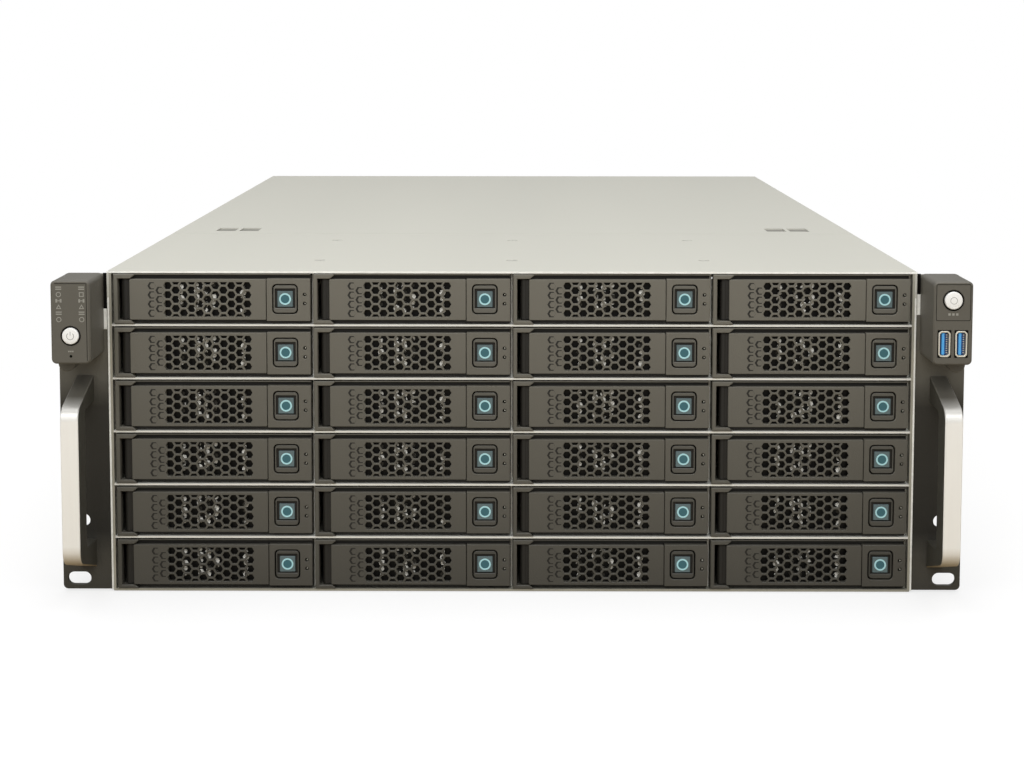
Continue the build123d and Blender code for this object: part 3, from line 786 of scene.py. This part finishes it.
def pod_marks():
    """Two columns of signs beside the status lights, a dash over the pinhole and three dots."""
    mesh = Mesh()
    low, high = POD_FACE - MARK_RISE * 2, POD_FACE + MARK_ROOT
    columns = (
        (-POD_X - 5.9, ("bars", "ring", "link", "triangle", "bars", "ring")),
        (-POD_X + 5.9, ("bars", "square", "link", "triangle", "bars", "ring")),
    )
    for x, kinds in columns:
        for row, kind in enumerate(kinds):
            symbol(mesh, kind, x, 168.0 - 3.25 * row, low, high)
    for across in (-1, 0, 1):
        mesh.slab(framed(-POD_X + across, 135.15, 0.35, 0.35), low, high, edge=MARK_EDGE)
        mesh.slab(framed(POD_X + 2 * across, 155.0, 0.6, 0.6), low, high, edge=MARK_EDGE)
    place(mesh.data("pod_marks"), "pod_marks", "chassis", "pod_plastic", MARK)


def buttons():
    """Domed caps, each with its sign."""
    for node, x, z, radius in (
        ("power_button", -POD_X, POWER_Z, POWER_R), ("uid_button", POD_X, UID_Z, UID_R)
    ):
        front = POD_FACE - 1.0
        mesh = Mesh()
        profile = [
            (radius - 0.9, front), (radius - 0.35, front + 0.12), (radius - 0.05, front + 0.5),
            (radius, front + 1.0), (radius, front + 3.5),
        ]
        mesh.tube(profile, (x, z), facing_front, 48)
        piece = place(mesh.data(node), node + "_cap", node, "button_white", BUTTON)
        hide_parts(node)
        mesh = Mesh()
        low, high = front - MARK_RISE, front + MARK_ROOT
        if node == "power_button":
            arc = []
            for r, steps in ((2.0, range(-11, 12)), (1.65, range(11, -12, -1))):
                angles = [math.pi + step * 0.22 for step in steps]
                arc += [(x + r * math.sin(a), z + r * math.cos(a)) for a in angles]
            mesh.slab(arc, low, high, edge=MARK_EDGE)
            mesh.slab(rectangle(x - 0.18, z + 0.4, x + 0.18, z + 2.4), low, high, edge=MARK_EDGE)
        else:
            ring = polygon(x, z, 1.9, 28)
            mesh.slab(ring, low, high, holes=[polygon(x, z, 1.6, 28)], edge=MARK_EDGE)
        place(mesh.data(node + "_sign"), node + "_sign", node, "button_white", GREY_MARK)


def chamfered(x, z, half_w, half_h, cut):
    """Rectangle around a middle with its corners cut."""
    quarter = [(half_w - cut, half_h), (half_w, half_h - cut)]
    return (
        [(x - u, z - v) for u, v in reversed(quarter)] + [(x + u, z - v) for u, v in quarter]
        + [(x + u, z + v) for u, v in reversed(quarter)] + [(x - u, z + v) for u, v in quarter]
    )


def sockets():
    """Two sockets: a bright shell, a dark block, a tongue and its contacts."""
    for index, x in enumerate(USB_X):
        mesh = Mesh()
        shell_hole = chamfered(x, USB_Z, 2.35, 6.05, 0.9)
        mesh.slab(
            chamfered(x, USB_Z, 3.05, 6.75, 1.2), POD_FACE - 0.35, POD_FACE + 3.8,
            holes=[shell_hole], edge=0.12,
        )
        place(mesh.data("shell"), f"socket_{index}_shell", "chassis", "pod_plastic", SHELL)
        mesh = Mesh()
        mesh.slab(chamfered(x, USB_Z, 2.4, 6.1, 0.9), POD_FACE + 2.6, POD_FACE + 3.9, edge=0.1)
        mesh.slab(framed(x + 0.8, USB_Z, 0.7, 5.6), POD_FACE + 0.8, POD_FACE + 3.0, edge=0.1)
        place(mesh.data("block"), f"socket_{index}_block", "chassis", "pod_plastic", SOCKET_BLUE)
        mesh = Mesh()
        mesh.slab(framed(x - 0.6, USB_Z, 0.7, 5.6), POD_FACE + 0.3, POD_FACE + 3.0, edge=0.1)
        place(mesh.data("tongue"), f"socket_{index}_tongue", "chassis", "pod_plastic", SOCKET_BLUE_LIT)
        mesh = Mesh()
        for step in range(-4, 5):
            contact = framed(x + 1.3, USB_Z + step * 1.15, 0.4, 0.22)
            mesh.slab(contact, POD_FACE + 0.6, POD_FACE + 1.0, edge=0.03)
        place(mesh.data("contacts"), f"socket_{index}_contacts", "chassis", "pod_plastic", CONTACT)


def ear_details():
    """Slotted ears with a flange on the case wall, knurled thumbscrews, and beside the ears the
    bright sheet edges and steel tabs."""
    outer = [
        (214.9, 7.0), (214.9, 0.5), (241.3, 0.5), (241.3, 168.0), (236.8, 171.5), (215.3, 171.5),
        (215.3, FLANGE_TOP), (WALL_X, FLANGE_TOP), (WALL_X, 7.0),
    ]
    outer = rounded(outer, [0, 0, 2.5, 1.5, 1.5, 0, 0, 0, 0])
    holes = [rectangle(226.35, z - 3.4, 238.75, z + 3.4, 3.39, 8) for z in (6.45, 38.2)]
    for name, side in SIDES:
        mesh = Mesh()
        mesh.slab(
            mirrored(outer, side), EAR_FACE, 0, holes=[mirrored(hole, side) for hole in holes],
            edge=0.25,
        )
        low, high = sorted((side * WALL_X, side * (WALL_X + 2.0)))
        mesh.slab(rectangle(-0.5, 12, 30, FLANGE_TOP, 1.0), low, high, facing_side, edge=0.25)
        piece = place(mesh.data("ear_" + name), f"ear_{name}_plate", "chassis", "ear_paint", EAR)
        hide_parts("rack_ears")
        mesh = Mesh()
        centre = (side * THUMB_X, THUMB_Z)
        tips = polygon(*centre, THUMB_R, KNURLS, math.pi / KNURLS)
        valleys = polygon(*centre, THUMB_R - 0.25, KNURLS)
        knurls = [point for pair in zip(valleys, tips) for point in pair]
        mesh.slab(knurls, EAR_FACE - 9.0, EAR_FACE - 2.0, edge=0.3)
        mesh.tube([(2.6, EAR_FACE - 3.0), (2.6, EAR_FACE + 0.2)], centre, facing_front)
        place(mesh.data("thumb"), f"ear_{name}_thumbscrew", "chassis", "ear_paint", DARK_AND_SHADE)
        mesh = Mesh()
        mesh.slab(mirrored(rectangle(213.9, 0.6, 214.9, 171.8), side), -3.9, -2.45, edge=0.1)
        place(mesh.data("edge"), f"wall_{name}_edge", "chassis", "galvanised_sheet", EDGE_STEEL_HIGHLIGHT)
        mesh = Mesh()
        tab_low = 141.8 if side < 0 else 150.0
        tab = rectangle(215.3, tab_low, 217.1, tab_low + 11.0)
        mesh.slab(mirrored(tab, side), -3.3, -2.4, edge=0.15)
        place(mesh.data("tab"), f"ear_{name}_tab", "chassis", "galvanised_sheet", EDGE_STEEL_HIGHLIGHT)
        # Near-black strip on the ear between the pod and the case wall: painted shadow.
        mesh = Mesh()
        gap = rectangle(215.3, tab_low + 11.2, 217.1, POD_HIGH)
        mesh.slab(mirrored(gap, side), -2.7, -2.4, edge=0.05)
        place(mesh.data("gap"), f"ear_{name}_gap", "chassis", "ear_paint", BLACK)


# Roof and rear

ROOF_TOP = 173.0
ROOF_T = 1.0
ROOF_X = 215.0
ROOF_FRONT = -4.0
ROOF_BACK = 188.0
SCREW_X = 107.0
SCREWS_Y = (47.0, 149.0)
LATCH_X = 176.5
PADDLE_STEP = 14.75
PADDLE_Y = 212.0


def from_roof(u, v, w):
    """u and v as seen from above, w is the depth below the roof's top face."""
    return (u, v, ROOF_TOP - w)


def roofs():
    """Front sheet with its side strips, screws in shallow seats, bright front edge and the
    paddles of the cover's latches."""
    screws = [(x, y) for x in (-SCREW_X, 0.0, SCREW_X) for y in SCREWS_Y]
    mesh = Mesh()
    seats = [polygon(x, y, 3.1, 24) for x, y in screws]
    sheet = rectangle(-ROOF_X, ROOF_FRONT, ROOF_X, ROOF_BACK)
    mesh.slab(sheet, 0, ROOF_T, from_roof, pockets=seats, pocket_depth=0.35, edge=0.12)
    for side in (-1, 1):
        strip = mirrored(rectangle(ROOF_X - 1, 159, ROOF_X, ROOF_TOP - 0.8), side)
        mesh.slab(strip, ROOF_FRONT, ROOF_BACK, edge=0.1)
    piece = place(mesh.data("roof"), "roof_front_sheet", "chassis", "roof_sheet", ROOF)
    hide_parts("front_roof")
    mesh = Mesh()
    for x, y in screws:
        head, recess = polygon(x, y, 2.8, 24), cross(x, y, 1.3, 0.5)
        mesh.slab(head, 0.12, 0.6, from_roof, pockets=[recess], pocket_depth=0.4, edge=0.08)
    place(mesh.data("roof_screws"), "roof_front_screws", "chassis", "roof_sheet", SCREW)
    # Near-white strip on the roof's front face: a painted highlight along its edge.
    mesh = Mesh()
    edge_face = rectangle(-ROOF_X, ROOF_TOP - 0.95, ROOF_X, ROOF_TOP - 0.05)
    mesh.slab(edge_face, ROOF_FRONT - 0.06, ROOF_FRONT + 0.1, edge=0.03)
    place(mesh.data("roof_edge"), "roof_front_edge", "chassis", "roof_sheet", EDGE_STEEL_HIGHLIGHT)
    mesh = Mesh()
    for side in (-1, 1):
        for paddle_side in (-1, 1):
            x = side * LATCH_X + paddle_side * PADDLE_STEP / 2
            mesh.slab(framed(x, PADDLE_Y, 6.0, 9.3, 1.5), 0.75, 1.02, from_roof, edge=0.05)
    place(mesh.data("latches"), "cover_latch_paddles", "rear_cover", "roof_sheet", LATCH)


REAR_Y = 675.0
REAR_FACE = 676.0
REAR_FANS_X = (33.525 - 41.0, 33.525 + 41.0)
REAR_FAN_Z = 112.0
FAN_SCREW = 35.5
SLOTS = 7
SLOT_STEP = 20.32
SLOT_MID_X = -119.01
SLOTS_X = [SLOT_MID_X + (index - SLOTS // 2) * SLOT_STEP for index in range(SLOTS)]
VENTS_UP = 9
VENT_STEP = 9.4
VENT_W = 1.8


def facing_back(u, v, w):
    """u across, v up, w is the depth before the rear face."""
    return (u, REAR_FACE - w, v)


def rear_screws():
    """Beside the power supply, at the fans' corners, over the slot covers and along the left."""
    points = [(x, z) for x in (120.9, 210.1) for z in (16.0, 90.0, 156.0)]
    corners = (-FAN_SCREW, FAN_SCREW)
    points += [(fan + x, REAR_FAN_Z + z) for fan in REAR_FANS_X for x in corners for z in corners]
    points += [(x, 124.0) for x in SLOTS_X]
    points += [(x, z) for x in (-205.0, -190.0) for z in (20.0, 90.0, 160.0)]
    return points


def rear_details():
    """Wire guards in the rear fan openings, screws, and the vents of the slot covers."""
    wire = 1.4
    mesh = Mesh()
    for x in REAR_FANS_X:
        for radius in (9.0, 18.0, 27.0, 36.0):
            outer = polygon(x, REAR_FAN_Z, radius + wire / 2, 40)
            inner = polygon(x, REAR_FAN_Z, radius - wire / 2, 40)
            mesh.slab(outer, REAR_Y, REAR_Y + 0.9, holes=[inner], edge=0.2)
        starts = polygon(x, REAR_FAN_Z, 9.0, 4, math.pi / 4)
        ends = polygon(x, REAR_FAN_Z, 38.4, 4, math.pi / 4)
        for start, end in zip(starts, ends):
            mesh.slab(line(start, end, wire), REAR_Y, REAR_Y + 0.8, edge=0.2)
    place(mesh.data("guards"), "rear_fan_guards", "chassis", "galvanised_sheet", SCREW)

    mesh = Mesh()
    for x, z in rear_screws():
        head, recess = polygon(x, z, 2.4, 20), cross(x, z, 1.2, 0.5)
        mesh.slab(head, 0.04, 0.8, facing_back, pockets=[recess], pocket_depth=0.4, edge=0.15)
    place(mesh.data("screws"), "rear_screws", "chassis", "galvanised_sheet", SCREW)
    # Vents drawn as near-black slabs: painted shade inside the openings.
    mesh = Mesh()
    for x in SLOTS_X:
        for step in range(VENTS_UP):
            for across in (-1, 0, 1):
                z = 24 + step * VENT_STEP + (0 if across else VENT_STEP / 2)
                left = x + across * 2 * VENT_W - VENT_W / 2
                vent = rectangle(left, z, left + VENT_W, z + 6.2, 0.85)
                mesh.slab(vent, REAR_Y, REAR_FACE - 0.06, edge=0.02)
    place(mesh.data("vents"), "rear_slot_vents", "chassis", "galvanised_sheet", BLACK)


FAN_STEP = 126.0
FAN_MID_Z = 61.2
HUB_R = 25.0
BLADE_R = 54.5
BLADES = 7


def blade_section(x, start):
    """Four corners of a blade's section: the tip runs a little ahead of the root."""
    root, tip, thick, ahead = HUB_R - 1.0, BLADE_R, 0.06, 0.12
    corners = (
        (root, start), (tip, start + ahead), (tip, start + thick + ahead), (root, start + thick),
    )
    return [(x + r * math.cos(a), FAN_MID_Z + r * math.sin(a)) for r, a in corners]


def fan_rotors():
    """Hubs and blades in the bores of the fan wall."""
    mesh = Mesh()
    for x in (-FAN_STEP, 0.0, FAN_STEP):
        hub = [(HUB_R - 1.5, 224.0), (HUB_R, 225.5), (HUB_R, 250.0)]
        mesh.tube(hub, (x, FAN_MID_Z), facing_front, 32)
        for blade in range(BLADES):
            base = blade * math.tau / BLADES
            rings = []
            for y, twist in ((226.0, 0.0), (232.0, 0.16), (238.0, 0.34), (245.0, 0.55)):
                rings.append(mesh.ring(blade_section(x, base + twist), y, facing_front))
            for a, b in zip(rings, rings[1:]):
                mesh.wall(a, b)
            for end_ring in (rings[0], rings[-1]):
                mesh.bm.faces.new(end_ring)
    place(mesh.data("rotors"), "fan_wall_rotors", "chassis", "fan_plastic", FAN)


# Stage, camera and light

def stage():
    """White floor that keeps the case's shadow. What it sends back to the case is a warm grey."""
    mesh = bpy.data.meshes.new("floor")
    reach = 6.0
    corners = [(-reach, -reach, 0), (reach, -reach, 0), (reach, reach, 0), (-reach, reach, 0)]
    mesh.from_pydata(corners, [], [(0, 1, 2, 3)])
    floor = bpy.data.objects.new("floor", mesh)
    floor.location.z = -0.0005
    bpy.context.scene.collection.objects.link(floor)
    mat = bpy.data.materials.new("floor_white")
    mat.use_nodes = True
    nodes, links = mat.node_tree.nodes, mat.node_tree.links
    nodes.remove(nodes["Principled BSDF"])
    path = nodes.new("ShaderNodeLightPath")
    seen = nodes.new("ShaderNodeBsdfDiffuse")
    seen.inputs["Color"].default_value = (0.95, 0.95, 0.95, 1)
    back = nodes.new("ShaderNodeBsdfDiffuse")
    back.inputs["Color"].default_value = (0.34, 0.29, 0.21, 1)
    white = nodes.new("ShaderNodeEmission")
    white.inputs["Color"].default_value = (1, 1, 1, 1)
    place_node = nodes.new("ShaderNodeTexCoord")
    length = nodes.new("ShaderNodeVectorMath")
    length.operation = "LENGTH"
    links.new(place_node.outputs["Object"], length.inputs[0])
    share = ranged(nodes, links, length.outputs["Value"], 0.7, 1.0, 0.25, 0.8)
    near = nodes.new("ShaderNodeMixShader")
    links.new(share, near.inputs["Fac"])
    links.new(seen.outputs["BSDF"], near.inputs[1])
    links.new(white.outputs["Emission"], near.inputs[2])
    mix = nodes.new("ShaderNodeMixShader")
    links.new(path.outputs["Is Camera Ray"], mix.inputs["Fac"])
    links.new(back.outputs["BSDF"], mix.inputs[1])
    links.new(near.outputs["Shader"], mix.inputs[2])
    links.new(mix.outputs["Shader"], nodes["Material Output"].inputs["Surface"])
    mesh.materials.append(mat)

    world = bpy.data.worlds.new("studio")
    world.use_nodes = True
    bpy.context.scene.world = world
    nodes, links = world.node_tree.nodes, world.node_tree.links
    soft = nodes["Background"]
    soft.inputs["Color"].default_value = (1, 1, 1, 1)
    soft.inputs["Strength"].default_value = 0.32
    white = nodes.new("ShaderNodeBackground")
    white.inputs["Color"].default_value = (1, 1, 1, 1)
    white.inputs["Strength"].default_value = 1.0
    path = nodes.new("ShaderNodeLightPath")
    mix = nodes.new("ShaderNodeMixShader")
    links.new(path.outputs["Is Camera Ray"], mix.inputs["Fac"])
    links.new(soft.outputs["Background"], mix.inputs[1])
    links.new(white.outputs["Background"], mix.inputs[2])
    links.new(mix.outputs["Shader"], nodes["World Output"].inputs["Surface"])


def lamp(name, where, towards, size, power):
    light = bpy.data.lights.new(name, "AREA")
    light.shape = "RECTANGLE"
    light.size, light.size_y = size
    light.energy = power
    obj = bpy.data.objects.new(name, light)
    obj.location = where
    aim = Vector(towards) - Vector(where)
    obj.rotation_euler = aim.to_track_quat("-Z", "Y").to_euler()
    bpy.context.scene.collection.objects.link(obj)


def camera():
    """Camera fitted to the photo's corners: place in millimetres, angles in radians, lens in pixels."""
    place_mm = Vector((2.6728, -986.97, 297.22))
    yaw, pitch, roll = -0.0026, 0.0841, 0.0009
    focal, shift_up = 1867.33, -190.0
    width = 1024.0
    ahead = Vector(
        (math.sin(yaw) * math.cos(pitch), math.cos(yaw) * math.cos(pitch), -math.sin(pitch))
    )
    right = Vector((math.cos(yaw), -math.sin(yaw), 0))
    up = right.cross(ahead)
    right_rolled = right * math.cos(roll) + up * math.sin(roll)
    up_rolled = up * math.cos(roll) - right * math.sin(roll)
    data = bpy.data.cameras.new("camera")
    data.sensor_width = 36.0
    data.lens = focal / width * data.sensor_width
    data.shift_y = shift_up / width
    data.clip_start = 0.01
    data.clip_end = 50.0
    obj = bpy.data.objects.new("camera", data)
    turn = Matrix((right_rolled, up_rolled, -ahead)).transposed().to_4x4()
    obj.matrix_world = Matrix.Translation(place_mm * MM) @ turn
    bpy.context.scene.collection.objects.link(obj)
    bpy.context.scene.camera = obj


def lights():
    lamp("top_softbox", (0.0, 0.3, 2.2), (0, 0.3, 0.1), (3.0, 2.4), 42)
    lamp("front_softbox", (-0.2, -2.4, 1.5), (0, 0, 0.1), (2.4, 1.6), 20)
    lamp("front_overhead", (0.0, -0.75, 0.85), (0, 0, 0.14), (1.4, 0.3), 5)
    lamp("rear_softbox", (0.0, 3.0, 2.4), (0, 0.6, 0.1), (2.4, 1.0), 5)
    lamp("left_strip", (-2.0, -1.2, 0.8), (0, 0, 0.1), (0.8, 1.8), 5)
    lamp("right_strip", (2.0, -1.2, 0.8), (0, 0, 0.1), (0.8, 1.8), 4)


def dress_nodes():
    dress("base_pan", STEEL)
    dress("rear_panel", STEEL)
    dress("drive_cage", CAGE)
    dress("backplanes", BOARD)
    dress("rear_cover", ROOF)
    dress("fan_wall", FAN)


bpy.context.scene.view_settings.view_transform = "Standard"
camera()
stage()
lights()
dress_nodes()
drive_front()
handles()
pods()
ear_details()
roofs()
rear_details()
fan_rotors()
